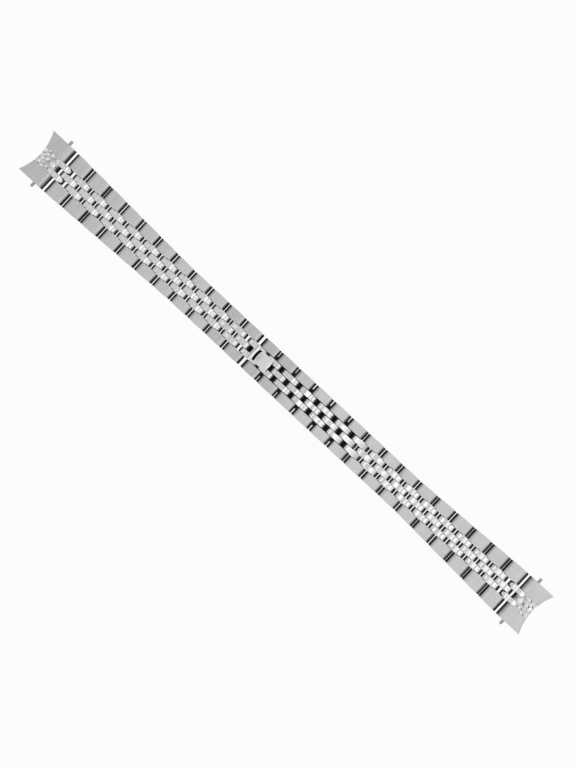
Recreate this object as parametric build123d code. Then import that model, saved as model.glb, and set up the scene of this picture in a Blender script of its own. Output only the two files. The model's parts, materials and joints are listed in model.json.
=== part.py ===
from build123d import *
import os
from math import asin, cos, degrees, radians, sin

# Chain: hinge pins are numbered from the left end, 0 to LAST_PIN
PIN_PITCH = 3.0
LEFT_LINKS = 11
RIGHT_LINKS = 15
PIN_RADIUS = 0.33
BORE_CLEARANCE = 0.06
# Link pins and their bores have eight flats and other small rounds twelve, as there are hundreds
PIN_SIDES = 8
ROUND_SIDES = 12

# Rows across the bracelet: outer plate, bead, middle bead, bead, outer plate
BEAD_WIDTH = 1.49
ROW_GAP = 0.08
END_HALF_WIDTH = 6.4
CLASP_HALF_WIDTH = 4.92
TAPER_LEFT = 40.0
TAPER_RIGHT = 34.0

# Side profile of plates and beads, measured from the pin axis
LINK_TOP = 1.15
LINK_BOTTOM = 1.0
PLATE_HALF_LENGTH = 2.75
BEAD_HALF_LENGTH = 2.62
ROUND_LENGTH = 0.95
ROUND_DROP = 0.7
SHOULDER_LENGTH = 0.35
SHOULDER_DROP = 0.22
FOOT_LENGTH = 0.3
CROWN_RISE = 0.12
CROWN_DROP = 0.16
CROWN_FLAT_SHARE = 0.4

# Links beside the clasp are cut short on the clasp side
SHORT_BEAD = 2.15
SHORT_PLATE = 2.35

# Arch: past the left links, the chain follows the closed clasp's curved blades for some stretches
ARCH_STRETCHES = 13
ARCH_BEND = 2.0
TOE_ANGLE = 2.2
RAMP_LINKS = 3

# Clasp blades: two curved sheets, one on the other, hinged at their right end
BLADE_THICKNESS = 0.5
BLADE_GAP = 0.08
LINK_SEAT_GAP = 0.26
BLADE_HALF_WIDTH = 3.35
BLADE_START = 1.15
CLASP_HINGE_BACK = 1.7
CLASP_PIN_RADIUS = 0.25
KNUCKLE_HALF_WIDTH = 1.1
NECK_REACH = 2.65
FORK_DEPTH = 1.0
EYE_RADIUS = 0.5
EYE_PIN_SHIFT = 0.2
ARM_HALF_WIDTH = 0.3

# Bracket: the polished catch on the lower blade, measured from its own pin
BRACKET_INSET = 0.1
PRONG_BACK = 0.95
WALL_THICKNESS = 1.05
ROOF_LENGTH = 2.15
ROOF_THICKNESS = 0.45
ROOF_TIP = 0.55
RIDGE_BACK = 1.0
RIDGE_WIDTH = 0.5
RIDGE_RISE = 0.06

# Release tab, its pin and the carrier that holds it, in the frame of the first right link
TAB_FRONT = 0.55
TAB_REAR = 3.5
TAB_HALF_WIDTH = 1.75
TAB_UNDERSIDE = 1.36
TAB_EDGE = 0.28
TAB_DOME = 0.3
TAB_CORNER = 0.4
TAB_FRONT_BULGE = 0.25
TAB_CROWN_FLAT_SHARE = 0.45
TAB_PIVOT_X = 3.2
TAB_PIVOT_Z = 0.95
TAB_PIN_RADIUS = 0.16
TAB_KNUCKLE_RADIUS = 0.33
TAB_KNUCKLE_WIDTH = 0.56
TAB_SLOT_LENGTH = 0.8
TAB_SLOT_FLOOR = 0.45
CARRIER_FRONT = 0.35
CARRIER_REAR = 3.45
CARRIER_TOP = 1.2
CARRIER_BOTTOM = 0.9

# End links and their spring bars, measured from the first hinge pin
SEAT_HALF_WIDTH = 6.5
FLAT_EDGE = 2.15
CASE_TIP = 9.85
CASE_HOLLOW = 1.5
BAR_DISTANCE = 4.65
BAR_HEIGHT = 0.05
END_TOP = 1.2
END_CASE_TOP = 0.9
END_WALL = 0.85
END_SIDE_WALL = 1.6
END_ROOF = 0.55
CENTRE_HALF_WIDTH = 2.4
CENTRE_DROP = 0.22
ROW_RISE = 0.14
FINGER_ROOT = 4.55
FINGER_TIP = 0.78
FINGER_SHOULDER = 1.6
STUB_BACK = 5.6
STUB_FRONT = 3.3
BAR_RADIUS = 0.7
BAR_HALF_LENGTH = 6.1
TIP_RADIUS = 0.4
TIP_OVERHANG = 1.3
TIP_SHOULDER = 0.06
STEM_RADIUS = 0.5
TIP_STEM = 3.2
TIP_TRAVEL_SPARE = 0.6
SLIDE_CLEARANCE = 0.03

# Cuts run this far past what they cut
OVERRUN = 0.5

BORE_RADIUS = PIN_RADIUS + BORE_CLEARANCE
HALF_PITCH = PIN_PITCH / 2
LAST_PIN = 2 * (LEFT_LINKS + RIGHT_LINKS) - 1
ARCH_FIRST_PIN = 2 * LEFT_LINKS - 1
ARCH_LAST_PIN = ARCH_FIRST_PIN + ARCH_STRETCHES
ROW_PITCH = BEAD_WIDTH + ROW_GAP
PLATE_INSIDE = 1.5 * BEAD_WIDTH + 2 * ROW_GAP
ROWS_HALF_WIDTH = 1.5 * BEAD_WIDTH + ROW_GAP

# Depths of the clasp's sheets below the pins
UPPER_TOP = LINK_BOTTOM + LINK_SEAT_GAP
UPPER_BOTTOM = UPPER_TOP + BLADE_THICKNESS
LOWER_TOP = UPPER_BOTTOM + BLADE_GAP
LOWER_BOTTOM = LOWER_TOP + BLADE_THICKNESS
CLASP_HINGE_DEPTH = (UPPER_TOP + LOWER_BOTTOM) / 2
KNUCKLE_RADIUS = (LOWER_BOTTOM - UPPER_TOP) / 2

ARCH_RADIUS = HALF_PITCH / sin(radians(ARCH_BEND / 2))
ARCH_HALF_ANGLE = ARCH_STRETCHES * ARCH_BEND / 2


def arch_angle(pin, along=0.0):
    """Angle from the arch's top, in degrees, of the place `along` millimetres past a pin."""
    return (pin - ARCH_FIRST_PIN) * ARCH_BEND - ARCH_HALF_ANGLE + degrees(along / ARCH_RADIUS)


BLADE_START_ANGLE = arch_angle(ARCH_FIRST_PIN, BLADE_START)
CLASP_HINGE_ANGLE = arch_angle(ARCH_LAST_PIN, -CLASP_HINGE_BACK)
SHEET_END_ANGLE = arch_angle(ARCH_LAST_PIN, -CLASP_HINGE_BACK - KNUCKLE_RADIUS - BLADE_GAP)

# The blade's lower left corner stands on the same surface as the flat links
ARCH_CENTRE_Z = -(ARCH_RADIUS - LOWER_BOTTOM) * cos(radians(BLADE_START_ANGLE))
ARCH_END_Z = ARCH_CENTRE_Z + ARCH_RADIUS * cos(radians(ARCH_HALF_ANGLE))
RAMP_RISE = ARCH_END_Z - LINK_BOTTOM - PIN_PITCH * sin(radians(TOE_ANGLE))
RAMP_ANGLE = degrees(asin(RAMP_RISE / (RAMP_LINKS * PIN_PITCH)))


def chain_path():
    """Places of all pins, and the heading of the stretch after each but the last."""
    climb = [TOE_ANGLE] + [RAMP_ANGLE] * RAMP_LINKS
    headings = [0.0] * (ARCH_FIRST_PIN - len(climb)) + climb
    headings += [ARCH_HALF_ANGLE - (n + 0.5) * ARCH_BEND for n in range(ARCH_STRETCHES)]
    headings += [-angle for angle in reversed(climb)]
    headings += [0.0] * (LAST_PIN - len(headings))
    length = sum(PIN_PITCH * cos(radians(h)) for h in headings)
    places = [(-length / 2, LINK_BOTTOM)]
    for h in headings:
        x, z = places[-1]
        places.append((x + PIN_PITCH * cos(radians(h)), z + PIN_PITCH * sin(radians(h))))
    return places, headings


PINS, HEADINGS = chain_path()
ARCH_CENTRE = (
    PINS[ARCH_FIRST_PIN][0] + ARCH_RADIUS * sin(radians(ARCH_HALF_ANGLE)),
    PINS[ARCH_FIRST_PIN][1] - ARCH_RADIUS * cos(radians(ARCH_HALF_ANGLE)),
)


def stretch_frame(pin):
    """Frame midway between a pin and the next one, with X along the chain."""
    (x1, z1), (x2, z2) = PINS[pin], PINS[pin + 1]
    return Pos((x1 + x2) / 2, 0, (z1 + z2) / 2) * Rot(0, -HEADINGS[pin], 0)


def on_arch(angle, depth):
    """Point on the arch at an angle from its top, `depth` below the pins' circle."""
    radius = ARCH_RADIUS - depth
    return (
        ARCH_CENTRE[0] + radius * sin(radians(angle)),
        ARCH_CENTRE[1] + radius * cos(radians(angle)),
    )


def slab(outline, y_low, y_high):
    """Solid from an outline drawn in X and Z, between two places across the bracelet."""
    return extrude(Pos(0, y_low, 0) * (Plane.XZ * outline), y_high - y_low, dir=(0, 1, 0))


def both_sides(solid):
    return [solid, mirror(solid, about=Plane.XZ)]


def row_span(row):
    """Lowest and highest Y of a bead row: -1, 0 or 1."""
    return row * ROW_PITCH - BEAD_WIDTH / 2, row * ROW_PITCH + BEAD_WIDTH / 2


def pin_rod(x, z, radius, half_length):
    section = Pos(x, z) * RegularPolygon(radius, PIN_SIDES)
    return slab(section, -half_length, half_length)


def pin_bore(x, z, radius, half_length):
    section = Pos(x, z) * RegularPolygon(radius, PIN_SIDES, major_radius=False)
    return slab(section, -half_length, half_length)


def round_rod(x, z, radius, y_low, y_high):
    return slab(Pos(x, z) * Circle(radius), y_low, y_high)


def small_round(x, z, radius, y_low, y_high):
    """Knuckle, eye or barrel, whose twelve corners lie on the radius."""
    return slab(Pos(x, z) * RegularPolygon(radius, ROUND_SIDES), y_low, y_high)


def small_bore(x, z, radius, y_low, y_high):
    """Hole whose twelve flats touch the radius."""
    return slab(Pos(x, z) * RegularPolygon(radius, ROUND_SIDES, major_radius=False), y_low, y_high)


def link_outline(x_low, x_high, top=LINK_TOP):
    """Side view of a plate or bead: flat top, ends rounded in two facets, and a narrower foot."""
    right = [
        (x_high - ROUND_LENGTH, top),
        (x_high - SHOULDER_LENGTH, top - SHOULDER_DROP),
        (x_high, top - ROUND_DROP),
        (x_high - FOOT_LENGTH, -LINK_BOTTOM),
    ]
    left = [
        (x_low + FOOT_LENGTH, -LINK_BOTTOM),
        (x_low, top - ROUND_DROP),
        (x_low + SHOULDER_LENGTH, top - SHOULDER_DROP),
        (x_low + ROUND_LENGTH, top),
    ]
    return make_face(Polyline(*right, *left, close=True))


def bead(row, x_low, x_high, bores):
    """One polished bead: rounded at its ends, crowned across, bored for its pins."""
    y_low, y_high = row_span(row)
    middle = (y_low + y_high) / 2
    crown = LINK_TOP + CROWN_RISE
    edge = LINK_TOP - CROWN_DROP
    flat = BEAD_WIDTH * CROWN_FLAT_SHARE / 2
    section = make_face(Polyline(
        (y_low, -LINK_BOTTOM), (y_high, -LINK_BOTTOM), (y_high, edge), (middle + flat, crown),
        (middle - flat, crown), (y_low, edge), close=True,
    ))
    solid = slab(link_outline(x_low, x_high, crown), y_low, y_high)
    across = extrude(Pos(x_low, 0, 0) * (Plane.YZ * section), x_high - x_low)
    solid = solid & across
    for x in bores:
        solid -= pin_bore(x, 0, BORE_RADIUS, ROWS_HALF_WIDTH + OVERRUN)
    return solid


def half_width(x):
    """Half of the bracelet's width at a place along it."""
    from_left = x - PINS[0][0]
    from_right = PINS[LAST_PIN][0] - x
    wide = END_HALF_WIDTH - CLASP_HALF_WIDTH
    left = CLASP_HALF_WIDTH + wide * max(0.0, 1 - from_left / TAPER_LEFT)
    right = CLASP_HALF_WIDTH + wide * max(0.0, 1 - from_right / TAPER_RIGHT)
    return max(left, right)


def outer_plate(pin, x_low, x_high):
    """Brushed plate at the bracelet's edge, whose outer side follows the taper."""
    centre = (PINS[pin][0] + PINS[pin + 1][0]) / 2
    y_low, y_high = half_width(centre + x_low), half_width(centre + x_high)
    plan = make_face(Polyline(
        (x_low, PLATE_INSIDE), (x_high, PLATE_INSIDE), (x_high, y_high), (x_low, y_low), close=True,
    ))
    block = extrude(Pos(0, 0, -LINK_BOTTOM) * plan, LINK_BOTTOM + LINK_TOP)
    return block & slab(link_outline(x_low, x_high), PLATE_INSIDE, max(y_low, y_high))


def big_link(pin, bead_low=-BEAD_HALF_LENGTH, bead_high=BEAD_HALF_LENGTH):
    """Two outer plates and a middle bead on two pins."""
    pieces = both_sides(outer_plate(pin, -PLATE_HALF_LENGTH, PLATE_HALF_LENGTH))
    pieces.append(bead(0, bead_low, bead_high, (-HALF_PITCH, HALF_PITCH)))
    pieces += [pin_rod(x, 0, PIN_RADIUS, PLATE_INSIDE) for x in (-HALF_PITCH, HALF_PITCH)]
    return [stretch_frame(pin) * p for p in pieces]


def bead_pair(pin, x_low=-BEAD_HALF_LENGTH):
    """The beads of the first and third bead row, which share two pins."""
    pieces = [bead(row, x_low, BEAD_HALF_LENGTH, (-HALF_PITCH, HALF_PITCH)) for row in (-1, 1)]
    return [stretch_frame(pin) * p for p in pieces]


def blade_sheet(start, end, top, half_width_):
    """Curved sheet between two angles of the arch."""
    outer, inner = ARCH_RADIUS - top, ARCH_RADIUS - top - BLADE_THICKNESS
    centre = ARCH_CENTRE
    first, last = 90 - start, 90 - end
    face = make_face([
        CenterArc(centre, outer, last, first - last),
        Line(on_arch(start, top), on_arch(start, top + BLADE_THICKNESS)),
        CenterArc(centre, inner, last, first - last),
        Line(on_arch(end, top), on_arch(end, top + BLADE_THICKNESS)),
    ])
    return slab(face, -half_width_, half_width_)


def at_clasp_hinge(shape, radius, y_low, y_high):
    x, z = on_arch(CLASP_HINGE_ANGLE, CLASP_HINGE_DEPTH)
    return shape(x, z, radius, y_low, y_high)


def clasp_lower_blade():
    """Sheet under the closed clasp, with two knuckles and the clasp's hinge pin."""
    middle = KNUCKLE_HALF_WIDTH + ROW_GAP
    sheet = blade_sheet(BLADE_START_ANGLE, CLASP_HINGE_ANGLE, LOWER_TOP, BLADE_HALF_WIDTH)
    sheet -= blade_sheet(SHEET_END_ANGLE, CLASP_HINGE_ANGLE, LOWER_TOP, middle)
    for y_low, y_high in ((-BLADE_HALF_WIDTH, -middle), (middle, BLADE_HALF_WIDTH)):
        sheet += at_clasp_hinge(small_round, KNUCKLE_RADIUS, y_low, y_high)
    sheet -= at_clasp_hinge(small_bore, CLASP_PIN_RADIUS, -BLADE_HALF_WIDTH, BLADE_HALF_WIDTH)
    return [sheet, at_clasp_hinge(small_round, CLASP_PIN_RADIUS, -BLADE_HALF_WIDTH, BLADE_HALF_WIDTH)]


def clasp_upper_blade():
    """Sheet on the lower blade: one knuckle at its right end, and a fork with two eyes at its left."""
    frame = stretch_frame(ARCH_FIRST_PIN + 1)
    eye_angle = arch_angle(ARCH_FIRST_PIN + 1, HALF_PITCH + EYE_PIN_SHIFT)
    wide_angle = eye_angle + degrees(NECK_REACH / ARCH_RADIUS)
    fork_angle = eye_angle + degrees(FORK_DEPTH / ARCH_RADIUS)
    middle = KNUCKLE_HALF_WIDTH + ROW_GAP
    sheet = blade_sheet(wide_angle, SHEET_END_ANGLE, UPPER_TOP, BLADE_HALF_WIDTH)
    sheet += blade_sheet(fork_angle, wide_angle, UPPER_TOP, ROWS_HALF_WIDTH)
    sheet += blade_sheet(SHEET_END_ANGLE, CLASP_HINGE_ANGLE, UPPER_TOP, KNUCKLE_HALF_WIDTH)
    sheet += at_clasp_hinge(small_round, KNUCKLE_RADIUS, -KNUCKLE_HALF_WIDTH, KNUCKLE_HALF_WIDTH)
    for row in (-1, 1):
        y_low, y_high = row_span(row)
        arm = make_face(Polyline(
            (EYE_PIN_SHIFT - ARM_HALF_WIDTH, 0),
            (EYE_PIN_SHIFT + ARM_HALF_WIDTH, 0),
            (EYE_PIN_SHIFT + ARM_HALF_WIDTH, -UPPER_TOP),
            (EYE_PIN_SHIFT + FORK_DEPTH + OVERRUN, -UPPER_TOP),
            (EYE_PIN_SHIFT + FORK_DEPTH + OVERRUN, -UPPER_BOTTOM),
            (EYE_PIN_SHIFT - ARM_HALF_WIDTH, -UPPER_BOTTOM),
            close=True,
        ))
        solid = slab(arm, y_low, y_high) + small_round(EYE_PIN_SHIFT, 0, EYE_RADIUS, y_low, y_high)
        solid -= small_bore(EYE_PIN_SHIFT, 0, CLASP_PIN_RADIUS + BORE_CLEARANCE, y_low, y_high)
        sheet += frame * solid
    sheet -= at_clasp_hinge(small_bore, CLASP_PIN_RADIUS + BORE_CLEARANCE, -middle, middle)
    return [sheet]


def clasp_bracket(lower_blade):
    """Catch on the lower blade: a wall, a roof with a raised ridge, and two prongs to the left half."""
    wall_x = BLADE_START + BRACKET_INSET - HALF_PITCH
    wall_foot = -LOWER_TOP - BLADE_THICKNESS / 2
    roof_x = wall_x + ROOF_LENGTH
    roof_z = LINK_TOP - ROOF_THICKNESS
    ridge = roof_x - RIDGE_BACK
    side = make_face(Polyline(
        (wall_x, LINK_TOP),
        (ridge - RIDGE_WIDTH, LINK_TOP),
        (ridge, LINK_TOP + RIDGE_RISE),
        (ridge + RIDGE_WIDTH, LINK_TOP),
        (roof_x + ROOF_TIP, LINK_TOP - RIDGE_RISE),
        (roof_x + ROOF_TIP, roof_z),
        (wall_x + WALL_THICKNESS, roof_z),
        (wall_x + WALL_THICKNESS, wall_foot),
        (wall_x, wall_foot),
        close=True,
    ))
    solid = slab(side, -ROWS_HALF_WIDTH, ROWS_HALF_WIDTH)
    hollow_radius = (ROWS_HALF_WIDTH**2 + ROOF_TIP**2) / (2 * ROOF_TIP)
    hollow = Pos(roof_x + hollow_radius, 0, roof_z - OVERRUN) * Cylinder(
        hollow_radius, ROOF_THICKNESS + 2 * OVERRUN, align=(Align.CENTER, Align.CENTER, Align.MIN)
    )
    solid -= hollow
    for row in (-1, 1):
        y_low, y_high = row_span(row)
        prong = slab(link_outline(-HALF_PITCH - PRONG_BACK, wall_x + WALL_THICKNESS), y_low, y_high)
        stop = make_face(Polyline(
            (wall_x, LINK_TOP + OVERRUN), (wall_x + PIN_PITCH, LINK_TOP + OVERRUN),
            (wall_x + PIN_PITCH, -LINK_BOTTOM - OVERRUN), (wall_x, -LINK_BOTTOM - OVERRUN), close=True,
        ))
        solid += prong - slab(stop, y_low, y_high)
    solid -= pin_bore(-HALF_PITCH, 0, BORE_RADIUS, ROWS_HALF_WIDTH + OVERRUN)
    return [stretch_frame(ARCH_FIRST_PIN) * solid - lower_blade]


def first_right_link(pin):
    """Link on the upper blade's end: two short plates, three pins and the carrier of the release tab."""
    pieces = both_sides(outer_plate(pin, -SHORT_PLATE, PLATE_HALF_LENGTH))
    y_low, y_high = row_span(0)
    outline = make_face(Polyline(
        (EYE_PIN_SHIFT - CARRIER_FRONT, CARRIER_FRONT),
        (EYE_PIN_SHIFT + CARRIER_FRONT, CARRIER_TOP),
        (CARRIER_REAR, CARRIER_TOP),
        (CARRIER_REAR, TAB_SLOT_FLOOR),
        (HALF_PITCH + CARRIER_BOTTOM, -CARRIER_BOTTOM),
        (EYE_PIN_SHIFT + CARRIER_FRONT, -CARRIER_BOTTOM),
        (EYE_PIN_SHIFT - CARRIER_FRONT, -CARRIER_FRONT),
        close=True,
    ))
    carrier = slab(outline, y_low, y_high)
    slot_start = CARRIER_REAR - TAB_SLOT_LENGTH
    slot = make_face(Polyline(
        (slot_start, TAB_SLOT_FLOOR), (CARRIER_REAR + OVERRUN, TAB_SLOT_FLOOR),
        (CARRIER_REAR + OVERRUN, CARRIER_TOP + OVERRUN), (slot_start, CARRIER_TOP + OVERRUN), close=True,
    ))
    slot_half = TAB_KNUCKLE_WIDTH / 2 + BORE_CLEARANCE
    carrier -= slab(slot, -slot_half, slot_half)
    carrier -= pin_bore(HALF_PITCH, 0, BORE_RADIUS, BEAD_WIDTH)
    carrier -= pin_bore(EYE_PIN_SHIFT, 0, CLASP_PIN_RADIUS + BORE_CLEARANCE, BEAD_WIDTH)
    carrier -= pin_bore(TAB_PIVOT_X, TAB_PIVOT_Z, TAB_PIN_RADIUS, BEAD_WIDTH)
    pieces.append(carrier)
    pieces.append(pin_rod(HALF_PITCH, 0, PIN_RADIUS, PLATE_INSIDE))
    pieces.append(pin_rod(EYE_PIN_SHIFT, 0, CLASP_PIN_RADIUS, PLATE_INSIDE))
    pieces.append(pin_rod(TAB_PIVOT_X, TAB_PIVOT_Z, TAB_PIN_RADIUS, BEAD_WIDTH / 2))
    return [stretch_frame(pin) * p for p in pieces]


def release_tab():
    """Domed square tab with a bulged front edge, on a knuckle under its rear edge."""
    front, rear, side, corner = -TAB_FRONT, TAB_REAR, TAB_HALF_WIDTH, TAB_CORNER
    edge, crown = TAB_UNDERSIDE + TAB_EDGE, TAB_UNDERSIDE + TAB_EDGE + TAB_DOME
    plan = make_face(Polyline(
        (front - TAB_FRONT_BULGE, 0), (front, side - corner), (front + corner, side), (rear, side),
        (rear, -side), (front + corner, -side), (front, corner - side), close=True,
    ))
    arched = make_face([
        Polyline(
            (front - TAB_FRONT_BULGE, edge), (front - TAB_FRONT_BULGE, TAB_UNDERSIDE),
            (TAB_PIVOT_X, TAB_UNDERSIDE), (rear, edge),
        ),
        ThreePointArc((front - TAB_FRONT_BULGE, edge), ((front + rear) / 2, crown), (rear, edge)),
    ])
    flat = side * TAB_CROWN_FLAT_SHARE
    across = make_face(Polyline(
        (-side, TAB_UNDERSIDE), (side, TAB_UNDERSIDE), (side, edge), (flat, crown), (-flat, crown),
        (-side, edge), close=True,
    ))
    plate = extrude(Pos(0, 0, TAB_UNDERSIDE) * plan, TAB_EDGE + TAB_DOME)
    plate = plate & slab(arched, -side, side)
    tip = front - TAB_FRONT_BULGE
    plate = plate & extrude(Pos(tip, 0, 0) * (Plane.YZ * across), rear - tip)
    half = TAB_KNUCKLE_WIDTH / 2
    leg = make_face(Polyline(
        (TAB_PIVOT_X - TAB_KNUCKLE_RADIUS, TAB_PIVOT_Z), (TAB_PIVOT_X, TAB_PIVOT_Z),
        (TAB_PIVOT_X, TAB_UNDERSIDE + TAB_EDGE / 2),
        (TAB_PIVOT_X - TAB_KNUCKLE_RADIUS, TAB_UNDERSIDE + TAB_EDGE / 2), close=True,
    ))
    knuckle = small_round(TAB_PIVOT_X, TAB_PIVOT_Z, TAB_KNUCKLE_RADIUS, -half, half)
    solid = plate + slab(leg, -half, half) + knuckle
    solid -= pin_bore(TAB_PIVOT_X, TAB_PIVOT_Z, TAB_PIN_RADIUS + SLIDE_CLEARANCE, BEAD_WIDTH)
    return [stretch_frame(ARCH_FIRST_PIN + 1) * solid]


def end_link():
    """Stamped end link of the left side, in the frame of the first pin: X is minus towards the case."""
    hollow_radius = (SEAT_HALF_WIDTH**2 + CASE_HOLLOW**2) / (2 * CASE_HOLLOW)
    side = make_face(Polyline(
        (-FLAT_EDGE, -LINK_BOTTOM), (-FLAT_EDGE, END_TOP), (-BAR_DISTANCE, END_TOP),
        (-CASE_TIP, END_CASE_TOP), (-CASE_TIP, -LINK_BOTTOM), close=True,
    ))
    shell = slab(side, -SEAT_HALF_WIDTH, SEAT_HALF_WIDTH)
    case_x = -CASE_TIP + CASE_HOLLOW - hollow_radius
    shell -= Pos(case_x, 0, -LINK_BOTTOM - OVERRUN) * Cylinder(
        hollow_radius, LINK_BOTTOM + END_TOP + 2 * OVERRUN, align=(Align.CENTER, Align.CENTER, Align.MIN)
    )
    case_wall = CASE_TIP - CASE_HOLLOW - END_WALL
    pocket = make_face(Polyline(
        (-FLAT_EDGE - END_WALL, -LINK_BOTTOM - OVERRUN), (-FLAT_EDGE - END_WALL, END_CASE_TOP - END_ROOF),
        (-case_wall, END_CASE_TOP - END_ROOF), (-case_wall, -LINK_BOTTOM - OVERRUN), close=True,
    ))
    pocket_half = SEAT_HALF_WIDTH - END_SIDE_WALL
    shell -= slab(pocket, -pocket_half, pocket_half)
    # The centre is stamped lower, with three raised rows on it
    sunk = make_face(Polyline(
        (-FLAT_EDGE + OVERRUN, END_TOP - CENTRE_DROP), (-BAR_DISTANCE, END_TOP - CENTRE_DROP),
        (-CASE_TIP, END_CASE_TOP - CENTRE_DROP), (-CASE_TIP, END_TOP + OVERRUN),
        (-FLAT_EDGE + OVERRUN, END_TOP + OVERRUN), close=True,
    ))
    shell -= slab(sunk, -CENTRE_HALF_WIDTH, CENTRE_HALF_WIDTH)
    for row in (-1, 0, 1):
        y_low, y_high = row_span(row)
        ridge = make_face(Polyline(
            (-STUB_BACK, END_TOP - 2 * CENTRE_DROP), (-STUB_BACK, END_TOP - CENTRE_DROP + ROW_RISE),
            (-CASE_TIP, END_CASE_TOP - CENTRE_DROP + ROW_RISE), (-CASE_TIP, END_CASE_TOP - 2 * CENTRE_DROP),
            close=True,
        ))
        rib = slab(ridge, y_low, y_high)
        rib -= Pos(case_x, 0, -LINK_BOTTOM) * Cylinder(
            hollow_radius, LINK_BOTTOM + END_TOP, align=(Align.CENTER, Align.CENTER, Align.MIN)
        )
        shell += rib
    shell += bead_stub()
    for row in (-1, 1):
        shell += finger(row)
    shell -= pin_bore(0, 0, BORE_RADIUS, ROWS_HALF_WIDTH + OVERRUN)
    bar_bore = BAR_RADIUS + BORE_CLEARANCE
    shell -= small_bore(-BAR_DISTANCE, BAR_HEIGHT, bar_bore, -SEAT_HALF_WIDTH, SEAT_HALF_WIDTH)
    return shell


def bead_stub():
    """Half bead in the middle row of an end link, above the spring bar."""
    floor = END_CASE_TOP - END_ROOF
    outline = make_face([
        Polyline(
            (-STUB_FRONT, END_TOP - CENTRE_DROP), (-STUB_FRONT, floor), (-STUB_BACK, floor),
            (-STUB_BACK, END_TOP - CENTRE_DROP),
        ),
        ThreePointArc(
            (-STUB_BACK, END_TOP - CENTRE_DROP), (-(STUB_BACK + STUB_FRONT) / 2, LINK_TOP + CROWN_RISE),
            (-STUB_FRONT, END_TOP - CENTRE_DROP),
        ),
    ])
    return slab(outline, *row_span(0))


def finger(row):
    """Pointed finger that reaches from an end link over the first hinge pin."""
    y_low, y_high = row_span(row)
    middle = (y_low + y_high) / 2
    top = LINK_TOP + CROWN_RISE
    floor = END_CASE_TOP - END_ROOF
    side = make_face(Polyline(
        (-FLAT_EDGE - END_WALL, -LINK_BOTTOM),
        (-FLAT_EDGE - END_WALL, floor),
        (-FINGER_ROOT, floor),
        (-FINGER_ROOT, END_TOP - CENTRE_DROP),
        (-FINGER_ROOT + FINGER_SHOULDER, top),
        (FINGER_TIP - ROUND_LENGTH, top),
        (FINGER_TIP - SHOULDER_LENGTH, top - SHOULDER_DROP),
        (FINGER_TIP, top - ROUND_DROP),
        (FINGER_TIP - FOOT_LENGTH, -LINK_BOTTOM),
        close=True,
    ))
    plan = make_face(Polyline(
        (-FINGER_ROOT, middle), (-FINGER_ROOT + FINGER_SHOULDER, y_high), (FINGER_TIP, y_high),
        (FINGER_TIP, y_low), (-FINGER_ROOT + FINGER_SHOULDER, y_low), close=True,
    ))
    block = extrude(Pos(0, 0, -LINK_BOTTOM) * plan, LINK_BOTTOM + top)
    return block & slab(side, y_low, y_high)


def spring_bar():
    """Barrel with one fixed tip at plus Y, and the sliding plunger at minus Y."""
    reach = SEAT_HALF_WIDTH + TIP_OVERHANG
    shoulder = SEAT_HALF_WIDTH + TIP_SHOULDER
    barrel = small_round(0, 0, BAR_RADIUS, -BAR_HALF_LENGTH, BAR_HALF_LENGTH)
    barrel += small_round(0, 0, STEM_RADIUS, BAR_HALF_LENGTH, shoulder)
    barrel += round_rod(0, 0, TIP_RADIUS, shoulder, reach)
    stem_end = -BAR_HALF_LENGTH + TIP_STEM
    chamber_end = stem_end + TIP_OVERHANG + TIP_TRAVEL_SPARE
    barrel -= small_bore(0, 0, STEM_RADIUS + SLIDE_CLEARANCE, -BAR_HALF_LENGTH, chamber_end)
    plunger = small_round(0, 0, STEM_RADIUS, -shoulder, stem_end)
    plunger += round_rod(0, 0, TIP_RADIUS, -reach, -shoulder)
    return barrel, plunger


def left_place():
    return Pos(PINS[0][0], 0, PINS[0][1])


def right_place():
    return Pos(PINS[LAST_PIN][0], 0, PINS[LAST_PIN][1])


def make_nodes():
    """Every node of the bracelet, as its name and its solids."""
    nodes = {}
    for number in range(1, LEFT_LINKS + 1):
        pin = 2 * (number - 1)
        if number < LEFT_LINKS:
            nodes[f"link_left_{number:02}"] = big_link(pin)
            nodes[f"beads_left_{number:02}"] = bead_pair(pin + 1)
        else:
            nodes[f"link_left_{number:02}"] = big_link(pin, bead_high=SHORT_BEAD)
    for number in range(1, RIGHT_LINKS + 1):
        pin = 2 * (LEFT_LINKS + number - 1)
        name = f"link_right_{number:02}"
        if number == 1:
            nodes[name] = first_right_link(pin)
        elif number == 2:
            nodes[name] = big_link(pin, bead_low=-SHORT_BEAD)
        else:
            nodes[name] = big_link(pin)
        if number == 1:
            nodes[f"beads_right_{number:02}"] = bead_pair(pin + 1, x_low=-SHORT_BEAD)
        elif number < RIGHT_LINKS:
            nodes[f"beads_right_{number:02}"] = bead_pair(pin + 1)
    lower = clasp_lower_blade()
    nodes["clasp_lower_blade"] = lower
    nodes["clasp_bracket"] = clasp_bracket(lower[0])
    nodes["clasp_upper_blade"] = clasp_upper_blade()
    nodes["release_tab"] = release_tab()
    link = end_link()
    nodes["end_link_left"] = [left_place() * link]
    nodes["end_link_right"] = [right_place() * mirror(link, about=Plane.YZ)]
    barrel, plunger = spring_bar()
    for side, place, direction in (("left", left_place(), -1), ("right", right_place(), 1)):
        seat = place * Pos(direction * BAR_DISTANCE, 0, BAR_HEIGHT)
        nodes[f"spring_bar_{side}_body"] = [seat * barrel]
        nodes[f"spring_bar_{side}_plunger"] = [seat * plunger]
    return nodes


def write_nodes(nodes):
    os.makedirs("parts", exist_ok=True)
    for name, pieces in nodes.items():
        solids = [solid for piece in pieces for solid in piece.solids()]
        export_step(Compound(label=name, children=solids), f"parts/{name}.step")


write_nodes(make_nodes())
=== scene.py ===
import json
import math

import bmesh
import bpy
from mathutils import Matrix, Vector


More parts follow.
